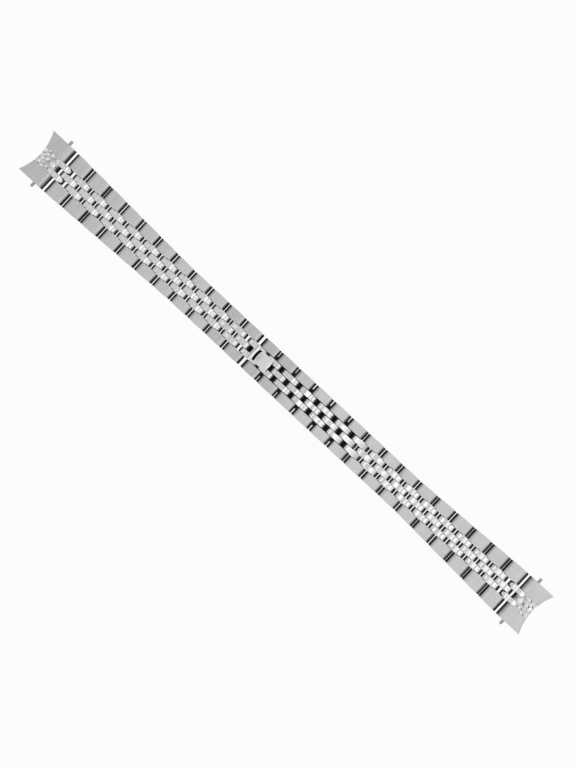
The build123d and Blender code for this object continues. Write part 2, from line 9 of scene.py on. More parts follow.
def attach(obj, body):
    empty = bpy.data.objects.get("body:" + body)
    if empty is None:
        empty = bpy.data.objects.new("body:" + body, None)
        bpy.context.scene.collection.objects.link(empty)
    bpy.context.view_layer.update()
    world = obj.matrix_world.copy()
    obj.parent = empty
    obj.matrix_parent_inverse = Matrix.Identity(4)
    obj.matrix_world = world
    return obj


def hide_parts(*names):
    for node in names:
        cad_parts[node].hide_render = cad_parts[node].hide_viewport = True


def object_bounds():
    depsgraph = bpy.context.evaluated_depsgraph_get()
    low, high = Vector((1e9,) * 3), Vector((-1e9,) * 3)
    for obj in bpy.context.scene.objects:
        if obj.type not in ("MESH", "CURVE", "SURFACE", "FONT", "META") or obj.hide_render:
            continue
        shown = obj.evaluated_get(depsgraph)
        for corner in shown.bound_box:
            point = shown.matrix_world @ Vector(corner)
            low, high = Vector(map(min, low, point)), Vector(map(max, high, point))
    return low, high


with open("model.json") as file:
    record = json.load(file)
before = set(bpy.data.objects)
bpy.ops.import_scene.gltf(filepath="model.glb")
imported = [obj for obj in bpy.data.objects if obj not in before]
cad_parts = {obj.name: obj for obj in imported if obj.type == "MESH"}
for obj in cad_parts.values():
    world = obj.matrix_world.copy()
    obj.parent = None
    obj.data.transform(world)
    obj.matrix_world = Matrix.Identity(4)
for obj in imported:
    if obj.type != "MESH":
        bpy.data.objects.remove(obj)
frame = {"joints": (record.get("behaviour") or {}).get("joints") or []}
cad_low, cad_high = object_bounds()

# Lengths are in millimetres until a mesh is made
MM = 0.001

# The chain, as in the frame: plates and beads on pins 3 mm apart
HALF_PITCH = 1.5
LEFT_LINKS = 11
RIGHT_LINKS = 15
PIN_RADIUS = 0.33
BEAD_WIDTH = 1.49
ROW_GAP = 0.08
ROW_PITCH = BEAD_WIDTH + ROW_GAP
PLATE_INSIDE = 1.5 * BEAD_WIDTH + 2 * ROW_GAP
ROWS_HALF_WIDTH = 1.5 * BEAD_WIDTH + ROW_GAP
END_HALF_WIDTH = 6.4
CLASP_HALF_WIDTH = 4.92
TAPER_LEFT = 40.0
TAPER_RIGHT = 34.0
LINK_TOP = 1.15
LINK_BOTTOM = 1.0
FOOT_LENGTH = 0.3
CROWN_RISE = 0.12
BEAD_TOP = LINK_TOP + CROWN_RISE

# Plates and beads reach further than in the frame, so that they nearly meet, and still more at some gaps
PLATE_HALF_LENGTH = 2.9
BEAD_HALF_LENGTH = 2.87
SHORT_BEAD = 2.22
SHORT_PLATE = 2.35
SNUG_REACH = 0.12
SNUG_GAPS = {"left": (2,), "right": (1, 2, 10, 12, 13, 14)}

# Length of the curve at a piece's ends: plain, and for plates and beads by the side of the clasp
ROUND_LENGTH = 0.8
ROUND_NEAR_CLASP = 1.3
ROUND_FAR = 1.15
BEAD_NEAR_CLASP = 1.15
BEAD_FAR = 1.0

# Shape of plates and beads across and along their tops
PLATE_BEVEL = 0.11
PLATE_BULGE = 0.1
PLATE_ARCH = 0.03
BEAD_BEVEL = 0.13
BEAD_SIDE_DROP = 0.2
SIDE_DROP_POWER = 2.4
BEAD_BEND_LEFT = 0.03
BEAD_BEND_RIGHT = 0.09
BEAD_CREST = 0.3
BEAD_TAPER = 1.1
BEAD_NARROWING = 0.4
NARROWING_POWER = 2.2
CORE_DEPTH = 0.62
CORE_SHORTER = 0.03
CUSHION_DEPTH = 0.72
FOOT_ROUND = 0.15

# The blades, on an arch in stretches of 3 mm and 2 degrees
ARCH_STRETCHES = 13
ARCH_BEND = 2.0
BLADE_THICKNESS = 0.5
BLADE_GAP = 0.08
LINK_SEAT_GAP = 0.26
BLADE_HALF_WIDTH = 3.35
BLADE_START = 0.65
BLADE_NECK = 2.2
SHOULDER_LENGTH = 0.5
SHEET_EDGE_SHARE = 0.28
SHEET_LAP_SHARE = 0.6
TONGUE_START = 0.0
TONGUE_THICKNESS = 0.22
CLASP_HINGE_BACK = 1.7
CLASP_PIN_RADIUS = 0.25
CLASP_PIN_PROUD = 0.01
KNUCKLE_HALF_WIDTH = 1.1
NECK_REACH = 2.65
FORK_DEPTH = 1.0
EYE_RADIUS = 0.5
EYE_PIN_SHIFT = 0.2
ARM_HALF_WIDTH = 0.3
ARM_LAP = 0.4
ARM_ROUND = 0.2
ARM_FILLET = 0.15
ARM_BEVEL = 0.06

# The bracket over the lower blade's end, with its ridge, its hollow front and its two prongs
WALL_X = -0.25
WALL_THICKNESS = 1.05
WALL_ROUND = 0.08
WALL_FILLET = 0.1
ROOF_LENGTH = 2.15
ROOF_THICKNESS = 0.45
ROOF_TIP = 1.45
ROOF_ROUND = 0.12
TIP_ROUND = 0.15
RIDGE_BACK = 1.0
RIDGE_WIDTH = 0.42
RIDGE_RISE = 0.05
RIDGE_CREST = 0.1
RIDGE_ROUND = 0.14
ROOF_HOLLOW = 1.88
HOLLOW_CURVE = 0.15
HOLLOW_HALF_WIDTH = 1.62
NOTCH_DEPTH = 0.5
NOTCH_HALF_WIDTH = 0.78
NOTCH_ZONE = 0.2
BRACKET_BEVEL = 0.1
PRONG_BACK = 0.95
PRONG_LAP = 0.3
PRONG_EDGE = 0.1
PRONG_RISE = 0.03
PRONG_TOP = LINK_TOP + PRONG_RISE

# The release tab and the carrier under it
TAB_FRONT = 0.55
TAB_REAR = 3.5
TAB_HALF_WIDTH = 1.8
TAB_UNDERSIDE = 1.36
TAB_EDGE = 0.28
TAB_DOME = 0.3
TAB_CROWN = 0.2
TAB_ROLL = 0.16
TAB_ROLL_SHARES = (0.12, 0.3, 0.55, 0.8, 1.0)
TAB_CROWN_SHARES = (0.84, 0.7, 0.54, 0.37, 0.18)
TAB_CHAMFER = 0.1
TAB_LEG_BEVEL = 0.04
TAB_FRONT_BULGE = 0.25
TAB_FRONT_CORNER = (0.5, 0.55)
TAB_REAR_CORNER = 0.4
TAB_PIVOT_X = 3.2
TAB_PIVOT_Z = 0.95
TAB_PIN_RADIUS = 0.16
TAB_KNUCKLE_RADIUS = 0.33
TAB_KNUCKLE_WIDTH = 0.56
CARRIER_FRONT = 0.35
CARRIER_REAR = 3.45
CARRIER_TOP = 1.2
CARRIER_BOTTOM = 0.9
CARRIER_EDGE = 0.1
CARRIER_ROUND = 0.2
CARRIER_BEVEL = 0.08

# The end links
SEAT_HALF_WIDTH = 6.5
FLAT_EDGE = 2.15
EDGE_LENGTH = 1.25
CASE_TIP = 9.85
CASE_HOLLOW = 1.5
END_TOP = 1.2
END_CASE_TOP = 0.9
END_WALL = 0.85
END_SIDE_WALL = 1.6
END_ROOF = 0.55
END_RIM = 0.16
END_FOOT_ROUND = 0.12
END_INSIDE_ROUND = 0.08
END_ROOF_ROUND = 0.2
END_TOP_ROUND = 0.4
END_SKIN = 0.05
END_CUTS = (4.3, 3.6, 3.0)
CENTRE_CUTS = (1.8, 1.2, 0.6)
CENTRE_HALF_WIDTH = 2.4
CENTRE_DROP = 0.22
RAMP_START = 3.6
RAMP_SLOPE = 0.3

# The stamped rows of an end link, and the stub and fingers that follow them
ROW_RISE = 0.2
STAMP_CELL = 2.3
STAMP_SKEW = 0.85
STAMP_DEPTH = 0.26
STAMP_PHASES = (0.2, 0.65, 0.45)
GROOVE_WIDTH = 0.2
STAMP_THICKNESS = 0.2
STAMP_RIM_WIDTH = 0.1
STAMP_RIM_DROP = 0.06
STAMP_INSET = 0.04
STAMP_LAP = 0.2
STUB_BACK = 5.8
STUB_FRONT = 3.2
STUB_BEND = 0.3
STUB_ROUND = 0.15
STUB_TAPER = 1.3
POINTED = 0.8
FINGER_ROOT = 4.75
FINGER_TIP = 1.0
FINGER_ROUNDS = (0.5, 0.95)
FINGER_TAPERS = (1.6, 2.0)

# The spring bars; a nose is shares of its radius and distances from its end
BAR_DISTANCE = 4.65
BAR_HEIGHT = 0.05
BAR_RADIUS = 0.7
BAR_HALF_LENGTH = 6.1
BAR_END_RADIUS = 0.55
BAR_END_LENGTH = 0.1
STEM_RADIUS = 0.5
TIP_RADIUS = 0.4
TIP_OVERHANG = 1.3
TIP_SHOULDER = 0.06
TIP_STEP = 0.04
TIP_STEM = 0.3
TIP_NOSE = [(1.0, 0.3), (0.8, 0.1), (0.35, 0.0)]

# Counts of cuts, spans and curve steps, and what else every mesh shares
PLATE_SPANS = 6
BEAD_SPANS = 14
STUB_SPANS = 8
PRONG_SPANS = 6
TAB_SPANS = 4
TAB_FRONT_SPANS = 6
END_EDGE_SPANS = 3
END_TOP_SPANS = 6
END_CASE_SPANS = 2
STAMP_SPANS = 60
STAMP_CUTS = 20
BEAD_CUTS = 4
PRONG_CUTS = 3
BRACKET_CUTS = 14
CURVE_STEPS = 7
TAB_CURVE_STEPS = 6
BRACKET_CURVE_STEPS = 4
SHORT_CURVE_STEPS = 3
BEVEL_STEPS = 3
ROD_SIDES = 20
PIN_SIDES = 14
THIN_PIN_SIDES = 12
SHEET_STEPS = 28
TONGUE_STEPS = 4
ROD_ROUND = 0.06
FINE_ROUND = 0.03
STEP_HALF_WIDTH = 0.01
CORNER_SLACK = 0.001
WALL_SLOPE = 0.6
SHARP_ANGLE = math.radians(32)

# The camera looks straight down, rolled so that the bracelet lies as in the photograph
PHOTO_LONG_SIDE = 768
PIXELS_PER_MM = 3.972
PHOTO_ROLL = math.radians(43.006)
PHOTO_CENTRE_RIGHT = 0.43
PHOTO_CENTRE_DOWN = 0.35
LENS = 90.0
SENSOR = 36.0

# The floor, in metres, and the share of its brightness that doesn't come from the light on it
FLOOR_HALF_SIZE = 3.0
FLOOR_GAP = 0.0001
FLOOR_GLOW = 0.93


# Materials

def new_material(name, colour, roughness, metallic=1.0):
    material = bpy.data.materials.new(name)
    material.use_nodes = True
    shader = material.node_tree.nodes["Principled BSDF"]
    shader.inputs["Base Color"].default_value = (*colour, 1)
    shader.inputs["Metallic"].default_value = metallic
    shader.inputs["Roughness"].default_value = roughness
    return material, material.node_tree, shader


def add_node(tree, kind, inputs=None, **settings):
    node = tree.nodes.new(kind)
    for key, value in settings.items():
        setattr(node, key, value)
    for key, value in (inputs or {}).items():
        if isinstance(value, bpy.types.NodeSocket):
            tree.links.new(value, node.inputs[key])
        else:
            node.inputs[key].default_value = value
    return node


def ranged(tree, value, low, high, start=0.3, end=0.7):
    return add_node(tree, "ShaderNodeMapRange", {
        "Value": value, "From Min": start, "From Max": end, "To Min": low, "To Max": high,
    }).outputs["Result"]


SMUDGE_SCALE = 260.0
LINE_HEIGHT = 0.00001


def steel(name, colour, roughness, stretch, spread, bump):
    """Bare steel: fine lines that change its roughness and colour a little, and smudges from handling."""
    material, tree, shader = new_material(name, colour, roughness[0])
    place = add_node(tree, "ShaderNodeTexCoord")
    mapping = add_node(tree, "ShaderNodeMapping", {"Vector": place.outputs["Object"], "Scale": stretch})
    lines = add_node(tree, "ShaderNodeTexNoise", {
        "Vector": mapping.outputs["Vector"], "Scale": 1.0, "Detail": 3.0,
    })
    smudges = add_node(tree, "ShaderNodeTexNoise", {
        "Vector": place.outputs["Object"], "Scale": SMUDGE_SCALE, "Detail": 2.0,
    })
    both = add_node(tree, "ShaderNodeMath", {
        0: lines.outputs["Fac"], 1: smudges.outputs["Fac"],
    }, operation="ADD")
    rough = ranged(tree, both.outputs["Value"], roughness[0], roughness[1], 0.75, 1.25)
    tree.links.new(rough, shader.inputs["Roughness"])
    share = ranged(tree, lines.outputs["Fac"], 0.0, 1.0)
    mix = add_node(tree, "ShaderNodeMix", {"Factor": share}, data_type="RGBA")
    # Sockets 6 and 7 are the two colours, and output 2 the mixed one
    mix.inputs[6].default_value = (*[c * (1 - spread) for c in colour], 1)
    mix.inputs[7].default_value = (*[min(1.0, c * (1 + spread)) for c in colour], 1)
    tree.links.new(mix.outputs[2], shader.inputs["Base Color"])
    raised = add_node(tree, "ShaderNodeBump", {
        "Height": lines.outputs["Fac"], "Strength": bump, "Distance": LINE_HEIGHT,
    })
    tree.links.new(raised.outputs["Normal"], shader.inputs["Normal"])
    return material


# Name, colour, least and most roughness, density of the lines along X, Y and Z, spread of the colour, bump
BRUSHED = steel("brushed_steel", (0.6, 0.6, 0.605), (0.27, 0.38), (1600, 130, 1600), 0.06, 0.3)
POLISHED = steel("polished_steel", (0.79, 0.79, 0.79), (0.05, 0.12), (1500, 4000, 4000), 0.02, 0.02)
SATIN = steel("satin_steel", (0.82, 0.82, 0.82), (0.2, 0.3), (1600, 400, 1600), 0.03, 0.05)
# The blades' steel is darker than the other steel: part of this is its own tone, and part is painted shade for
# where the links cover the blades
SHADE_DARKENED_BLADE = steel("blade_steel", (0.34, 0.34, 0.345), (0.26, 0.38), (300, 7000, 7000), 0.05, 0.2)
BAR = steel("bar_steel", (0.48, 0.48, 0.485), (0.22, 0.34), (9000, 300, 9000), 0.05, 0.15)
# Painted shade: faces in the gaps, under the beads and on the blades' tops are near black and don't reflect,
# standing in for the shade that falls there
PAINTED_SHADE, _, painted_shade_shader = new_material("painted_shade_steel", (0.03, 0.03, 0.03), 0.7, 0.0)
painted_shade_shader.inputs["Specular IOR Level"].default_value = 0.0


# Outlines in X and Z, drawn anticlockwise, with soft corners

def bow(length):
    """Run before and after a corner that turns 45 degrees along a soft curve of this length."""
    return length / 2 * math.sqrt(2) - CORNER_SLACK, length / 2


def mix_points(shares, points):
    return tuple(sum(s * p[i] for s, p in zip(shares, points)) for i in range(len(points[0])))


def soft_outline(corners, steps=CURVE_STEPS):
    """Closed outline from corners of x, z, run before and run after. A fifth number cuts the side after it."""
    count, result = len(corners), []
    for i, corner in enumerate(corners):
        here = Vector(corner[:2])
        before, after = Vector(corners[i - 1][:2]), Vector(corners[(i + 1) % count][:2])
        start = here + (before - here).normalized() * corner[2]
        end = here + (after - here).normalized() * corner[3]
        if corner[2] == corner[3] == 0:
            result.append(tuple(here))
        else:
            for k in range(steps + 1):
                t = k / steps
                result.append(mix_points(((1 - t) ** 2, 2 * t * (1 - t), t * t), (start, here, end)))
        spans = corner[4] if len(corner) > 4 else 1
        ahead = corners[(i + 1) % count]
        next_start = after + (here - after).normalized() * ahead[2]
        for k in range(1, spans):
            result.append(mix_points((1 - k / spans, k / spans), (end, next_start)))
    return result


def shrunk(points, inset):
    """The outline moved inwards."""
    result = []
    for i, here in enumerate(points):
        before, after = points[i - 1], points[(i + 1) % len(points)]
        arriving = (Vector(here) - Vector(before)).normalized()
        leaving = (Vector(after) - Vector(here)).normalized()
        along = (arriving + leaving).normalized()
        result.append((here[0] - along.y * inset, here[1] + along.x * inset))
    return result


def bevel_stations(low, high, radius, inner=0):
    """Insets and places from one face to the other, with quarter-round edges."""
    turns = [k * math.pi / 2 / BEVEL_STEPS for k in range(BEVEL_STEPS + 1)]
    edge = [(radius * (1 - math.sin(a)), radius * (1 - math.cos(a))) for a in turns]
    stations = [(inset, low + away) for inset, away in edge]
    for k in range(1, inner + 1):
        stations.append((0.0, low + radius + (high - low - 2 * radius) * k / (inner + 1)))
    return stations + [(inset, high - away) for inset, away in reversed(edge)]


def clamped(value, low=0.0, high=1.0):
    return max(low, min(high, value))


# Meshes

class Mesh:
    """Vertices and faces of one piece, in millimetres, with a material for each face."""

    def __init__(self):
        self.points, self.faces, self.materials, self.slots = [], [], [], []

    def slot_of(self, material):
        if material not in self.slots:
            self.slots.append(material)
        return self.slots.index(material)

    def skin(self, rings, material, sides=None, caps=None):
        """Quads between rings of equal length, with a material for each side if given, and two end faces."""
        base, size = len(self.points), len(rings[0])
        slots = [self.slot_of(sides[i] if sides else material) for i in range(size)]
        for ring in rings:
            self.points += [tuple(p) for p in ring]
        for r in range(len(rings) - 1):
            for i in range(size):
                a, b = base + r * size + i, base + r * size + (i + 1) % size
                self.faces.append((a, b, b + size, a + size))
                self.materials.append(slots[i])
        last = base + (len(rings) - 1) * size
        self.faces += [tuple(range(base, base + size)), tuple(range(last, last + size))]
        self.materials += [self.slot_of(m) for m in (caps or (material, material))]

    def loft(self, outline, stations, material, shape=None, caps=None, walls=None, beyond=-math.inf):
        """The outline carried across the bracelet, inset and placed by each station."""
        sides = []
        for i, here in enumerate(outline):
            ahead = outline[(i + 1) % len(outline)]
            steep = abs(ahead[1] - here[1]) > WALL_SLOPE * abs(ahead[0] - here[0]) and here[0] > beyond
            sides.append(walls if walls and steep else material)
        rings = []
        for inset, y in stations:
            ring = [(x, y, z) for x, z in shrunk(outline, inset)]
            rings.append([shape(*p) for p in ring] if shape else ring)
        self.skin(rings, material, sides, caps)

    def rod(self, x, z, profile, material, sides=ROD_SIDES):
        """Turned piece along Y, from (radius, y) pairs."""
        turns = [2 * math.pi * k / sides for k in range(sides)]
        rings = [[(x + r * math.cos(a), y, z + r * math.sin(a)) for a in turns] for r, y in profile]
        self.skin(rings, material)

    def moved(self, matrix, start=0):
        self.points[start:] = [tuple(matrix @ Vector(p)) for p in self.points[start:]]

    def build(self, name, body, slot, *nodes):
        mesh = bpy.data.meshes.new(name)
        mesh.from_pydata([[v * MM for v in p] for p in self.points], [], self.faces)
        for material in self.slots:
            mesh.materials.append(material)
        mesh.polygons.foreach_set("material_index", self.materials)
        tidy = bmesh.new()
        tidy.from_mesh(mesh)
        bmesh.ops.recalc_face_normals(tidy, faces=tidy.faces)
        tidy.to_mesh(mesh)
        tidy.free()
        mesh.polygons.foreach_set("use_smooth", [True] * len(mesh.polygons))
        mesh.set_sharp_from_angle(angle=SHARP_ANGLE)
        piece = bpy.data.objects.new(name, mesh)
        bpy.context.scene.collection.objects.link(piece)
        weighted = piece.modifiers.new("weighted_normals", "WEIGHTED_NORMAL")
        weighted.keep_sharp = True
        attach(piece, body)
        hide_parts(*nodes)


def bar_profile(radius, low, high, rounding=ROD_ROUND):
    """Radii and places of a plain rod with softened ends."""
    small = radius - rounding
    return [(small, low), (radius, low + rounding), (radius, high - rounding), (small, high)]


# Places along the chain, from the joints of the frame

joint_place = {j["name"]: Vector(j["pos_m"]) / MM for j in frame["joints"] if "pos_m" in j}
FIRST_PIN = joint_place["end_link_left_hinge"]
LAST_PIN = joint_place["end_link_right_hinge"]


def between(first, second):
    """Frame midway between two places, with X from the first to the second."""
    along = (second - first).normalized()
    across = Vector((0, 1, 0))
    turn = Matrix((along, across, along.cross(across))).transposed().to_4x4()
    return Matrix.Translation((first + second) / 2) @ turn


def pin_after(side, kind, number):
    """Place of the pin at a node's right end."""
    if side == "left":
        return joint_place[f"{kind}_left_{number:02}_hinge"]
    if kind == "beads":
        return joint_place[f"link_right_{number + 1:02}_hinge"]
    return joint_place["end_link_right_hinge" if number == RIGHT_LINKS else f"beads_right_{number:02}_hinge"]


def pin_before(side, kind, number):
    """Place of the pin at a node's left end."""
    if side == "right":
        return joint_place[f"{kind}_right_{number:02}_hinge"]
    if kind == "beads":
        return joint_place[f"link_left_{number:02}_hinge"]
    return joint_place["end_link_left_hinge" if number == 1 else f"beads_left_{number - 1:02}_hinge"]


def node_frame(side, kind, number):
    after = pin_after(side, kind, number)
    if (side, kind, number) != ("right", "link", 1):
        return between(pin_before(side, kind, number), after)
    # The first right link hangs on the upper blade's eyes, just past its own middle
    along = (after - joint_place["link_right_01_hinge"]).normalized()
    return between(after - along * 2 * HALF_PITCH, after)


def half_width(x):
    """Half of the bracelet's width at a place along it."""
    wide = END_HALF_WIDTH - CLASP_HALF_WIDTH
    left = CLASP_HALF_WIDTH + wide * max(0.0, 1 - (x - FIRST_PIN.x) / TAPER_LEFT)
    right = CLASP_HALF_WIDTH + wide * max(0.0, 1 - (LAST_PIN.x - x) / TAPER_RIGHT)
    return max(left, right)


# Pieces of the chain, each in the frame of its own two pins

def link_outline(x_low, x_high, top, spans, lengths=(ROUND_LENGTH, ROUND_LENGTH), bottom=-LINK_BOTTOM):
    (steep_low, flat_low), (steep_high, flat_high) = bow(lengths[0]), bow(lengths[1])
    foot = FOOT_LENGTH if bottom == -LINK_BOTTOM else 0.0
    return soft_outline([
        (x_low + foot, bottom, FOOT_ROUND, FOOT_ROUND),
        (x_high - foot, bottom, FOOT_ROUND, FOOT_ROUND),
        (x_high, top - flat_high, 0, 0),
        (x_high - flat_high, top, steep_high, flat_high, spans),
        (x_low + flat_low, top, flat_low, steep_low),
        (x_low, top - flat_low, 0, 0),
    ])


def towards_clasp(side, near, far):
    """Values for the left and right end of a piece, from those for its end near the clasp and its far end."""
    return (far, near) if side == "left" else (near, far)


def add_plate(mesh, x_low, x_high, centre, sign, side):
    """Brushed outer plate: almost flat on top, rounded at its ends, its outer side a shallow curve."""
    nominal = half_width(centre)

    def shape(x, y, z):
        share = (x - x_low) / (x_high - x_low)
        arch = 1 - (2 * share - 1) ** 2
        outer = half_width(centre + x_low) * (1 - share) + half_width(centre + x_high) * share
        outer += PLATE_BULGE * (arch - 0.5)
        reach = (y - PLATE_INSIDE) / (nominal - PLATE_INSIDE)
        height = clamped((z + LINK_BOTTOM) / (LINK_TOP + LINK_BOTTOM))
        return x, sign * (y + reach * (outer - nominal)), z - PLATE_ARCH * (1 - arch) * height

    lengths = towards_clasp(side, ROUND_NEAR_CLASP, ROUND_FAR)
    outline = link_outline(x_low, x_high, LINK_TOP, PLATE_SPANS, lengths)
    stations = bevel_stations(PLATE_INSIDE, nominal, PLATE_BEVEL)
    # The inner side and the end walls are painted shade
    mesh.loft(outline, stations, BRUSHED, shape, (PAINTED_SHADE, BRUSHED), PAINTED_SHADE)


def cushion(row, x_low, x_high, top, taper_low=BEAD_TAPER, taper_high=BEAD_TAPER,
            narrow_low=BEAD_NARROWING, narrow_high=BEAD_NARROWING, bends=(BEAD_BEND_LEFT, BEAD_BEND_RIGHT)):
    """Shape of a polished bead: narrower at its ends, crowned across, and falling to both ends."""
    crest = (x_low + x_high) / 2 + BEAD_CREST

    def shape(x, y, z):
        low = clamped((x_low + taper_low - x) / taper_low)
        high = clamped((x - x_high + taper_high) / taper_high)
        narrow = 1 - narrow_low * low**NARROWING_POWER - narrow_high * high**NARROWING_POWER
        height = clamped((z + LINK_BOTTOM) / (top + LINK_BOTTOM)) ** 2
        fall = (bends[0] if x < crest else bends[1]) / 2 * (x - crest) ** 2
        across = abs(y) / (BEAD_WIDTH / 2)
        z -= height * (BEAD_SIDE_DROP * across**SIDE_DROP_POWER + fall)
        return x, row * ROW_PITCH + y * narrow, z

    return shape


def add_core(mesh, row, x_low, x_high, top):
    """Plain lower body under a cushion, at the full width."""
    low, high = x_low + CORE_SHORTER, x_high - CORE_SHORTER
    outline = soft_outline([
        (low + FOOT_LENGTH, -LINK_BOTTOM, 0, 0), (high - FOOT_LENGTH, -LINK_BOTTOM, 0, 0),
        (high, top - CORE_DEPTH - FOOT_LENGTH, 0, 0), (high, top - CORE_DEPTH, 0, 0),
        (low, top - CORE_DEPTH, 0, 0), (low, top - CORE_DEPTH - FOOT_LENGTH, 0, 0),
    ])
    middle, half = row * ROW_PITCH, BEAD_WIDTH / 2
    # The lower body, seen in the gaps, is painted shade
    mesh.loft(outline, [(0.0, middle - half), (0.0, middle + half)], PAINTED_SHADE)


def add_polished(mesh, outline, shape, cuts=BEAD_CUTS):
    """Polished upper body of one row, with sides and end walls in painted shade."""
    stations = bevel_stations(-BEAD_WIDTH / 2, BEAD_WIDTH / 2, BEAD_BEVEL, cuts)
    mesh.loft(outline, stations, POLISHED, shape, (PAINTED_SHADE, PAINTED_SHADE), PAINTED_SHADE)


def cushion_outline(x_low, x_high, spans, lengths):
    return link_outline(x_low, x_high, BEAD_TOP, spans, lengths, BEAD_TOP - CUSHION_DEPTH)


def add_bead(mesh, row, x_low, x_high, side):
    add_core(mesh, row, x_low, x_high, BEAD_TOP)
    outline = cushion_outline(x_low, x_high, BEAD_SPANS, towards_clasp(side, BEAD_NEAR_CLASP, BEAD_FAR))
    add_polished(mesh, outline, cushion(row, x_low, x_high, BEAD_TOP))


def add_pins(mesh, *places):
    for x in places:
        mesh.rod(x, 0, bar_profile(PIN_RADIUS, -PLATE_INSIDE, PLATE_INSIDE), BAR, PIN_SIDES)


def build_link(side, number):
    name = f"link_{side}_{number:02}"
    where = node_frame(side, "link", number)
    plates, bead = Mesh(), Mesh()
    plate_end = PLATE_HALF_LENGTH + (SNUG_REACH if number in SNUG_GAPS[side] else 0.0)
    for sign in (-1, 1):
        add_plate(plates, -PLATE_HALF_LENGTH, plate_end, where.translation.x, sign, side)
    add_pins(plates, -HALF_PITCH, HALF_PITCH)
    low = -SHORT_BEAD if (side, number) == ("right", 2) else -BEAD_HALF_LENGTH
    high = SHORT_BEAD if (side, number) == ("left", LEFT_LINKS) else BEAD_HALF_LENGTH
    add_bead(bead, 0, low, high, side)
    for mesh, part, slot in ((plates, "plates", "brushed_steel"), (bead, "bead", "polished_steel")):
        mesh.moved(where)
        mesh.build(f"{name}_{part}", name, slot, name)


def build_beads(side, number):
    name = f"beads_{side}_{number:02}"
    mesh = Mesh()
    low = -SHORT_BEAD if (side, number) == ("right", 1) else -BEAD_HALF_LENGTH
    for row in (-1, 1):
        add_bead(mesh, row, low, BEAD_HALF_LENGTH, side)
    mesh.moved(node_frame(side, "beads", number))
    mesh.build(f"{name}_steel", name, "polished_steel", name)


def build_first_right_link():
    """Two short plates, three pins and the carrier of the release tab."""
    where = node_frame("right", "link", 1)
    row_half = BEAD_WIDTH / 2
    mesh = Mesh()
    for sign in (-1, 1):
        add_plate(mesh, -SHORT_PLATE, PLATE_HALF_LENGTH + SNUG_REACH, where.translation.x, sign, "right")
    add_pins(mesh, HALF_PITCH)
    mesh.rod(EYE_PIN_SHIFT, 0, bar_profile(CLASP_PIN_RADIUS, -PLATE_INSIDE, PLATE_INSIDE), BAR, PIN_SIDES)
    tab_pin = bar_profile(TAB_PIN_RADIUS, -row_half, row_half, FINE_ROUND)
    mesh.rod(TAB_PIVOT_X, TAB_PIVOT_Z, tab_pin, BAR, THIN_PIN_SIDES)
    front, rear = EYE_PIN_SHIFT - CARRIER_FRONT, CARRIER_REAR
    outline = soft_outline([
        (EYE_PIN_SHIFT + CARRIER_FRONT, -CARRIER_BOTTOM, CARRIER_EDGE, CARRIER_EDGE),
        (HALF_PITCH + CARRIER_BOTTOM, -CARRIER_BOTTOM, CARRIER_ROUND, CARRIER_ROUND),
        (rear, TAB_PIVOT_Z / 2, CARRIER_EDGE, CARRIER_EDGE),
        (rear, CARRIER_TOP, CARRIER_ROUND, CARRIER_ROUND),
        (EYE_PIN_SHIFT + CARRIER_FRONT, CARRIER_TOP, CARRIER_ROUND, CARRIER_ROUND),
        (front, CARRIER_FRONT, CARRIER_EDGE, CARRIER_EDGE),
        (front, -CARRIER_FRONT, CARRIER_EDGE, CARRIER_EDGE),
    ], SHORT_CURVE_STEPS)
    # The carrier under the tab is painted shade
    mesh.loft(outline, bevel_stations(-row_half, row_half, CARRIER_BEVEL), PAINTED_SHADE)
    mesh.moved(where)
    mesh.build("link_right_01_steel", "link_right_01", "brushed_steel", "link_right_01")


# The clasp

def circle_through(a, b, c):
    """Centre and radius, in X and Z, of the circle through three places."""
    ax, az, bx, bz, cx, cz = a.x, a.z, b.x, b.z, c.x, c.z
    d = 2 * (ax * (bz - cz) + bx * (cz - az) + cx * (az - bz))
    a2, b2, c2 = ax * ax + az * az, bx * bx + bz * bz, cx * cx + cz * cz
    x = (a2 * (bz - cz) + b2 * (cz - az) + c2 * (az - bz)) / d
    z = (a2 * (cx - bx) + b2 * (ax - cx) + c2 * (bx - ax)) / d
    return Vector((x, 0, z)), math.hypot(ax - x, az - z)


ARCH_START_PIN = joint_place["link_left_11_hinge"]
ARCH_CENTRE, ARCH_RADIUS = circle_through(
    ARCH_START_PIN, joint_place["link_right_04_hinge"], joint_place["link_right_06_hinge"])
ARCH_START = math.atan2(ARCH_START_PIN.x - ARCH_CENTRE.x, ARCH_START_PIN.z - ARCH_CENTRE.z)


def arch_angle(stretches, along=0.0):
    return ARCH_START + math.radians(ARCH_BEND) * stretches + along / ARCH_RADIUS


def blade_width(neck):
    """Half width of a blade by angle: as narrow as the rows up to its neck, and wider past it."""
    def width(angle):
        grown = clamped((angle - neck) * ARCH_RADIUS / SHOULDER_LENGTH + 0.5)
        return ROWS_HALF_WIDTH + (BLADE_HALF_WIDTH - ROWS_HALF_WIDTH) * grown

    return width


def add_sheet(mesh, start, end, depth, width, thickness=BLADE_THICKNESS, steps=SHEET_STEPS):
    """Curved sheet with soft edges and a top in painted shade; `width` gives its half width at each angle."""
    edge, rings = thickness * SHEET_EDGE_SHARE, []
    for k in range(steps + 1):
        angle = start + (end - start) * k / steps
        section = soft_outline([
            (-width(angle), depth, edge, edge), (width(angle), depth, edge, edge),
            (width(angle), depth + thickness, edge, edge), (-width(angle), depth + thickness, edge, edge),
        ], SHORT_CURVE_STEPS)
        rings.append([(ARCH_CENTRE.x + (ARCH_RADIUS - d) * math.sin(angle), y,
                       ARCH_CENTRE.z + (ARCH_RADIUS - d) * math.cos(angle)) for y, d in section])
    # The top faces, under the links, are painted shade
    shade_painted_tops = [max(section[i][1], section[(i + 1) % len(section)][1]) < depth + edge for i in range(len(section))]
    mesh.skin(rings, SHADE_DARKENED_BLADE, [PAINTED_SHADE if top else SHADE_DARKENED_BLADE for top in shade_painted_tops])


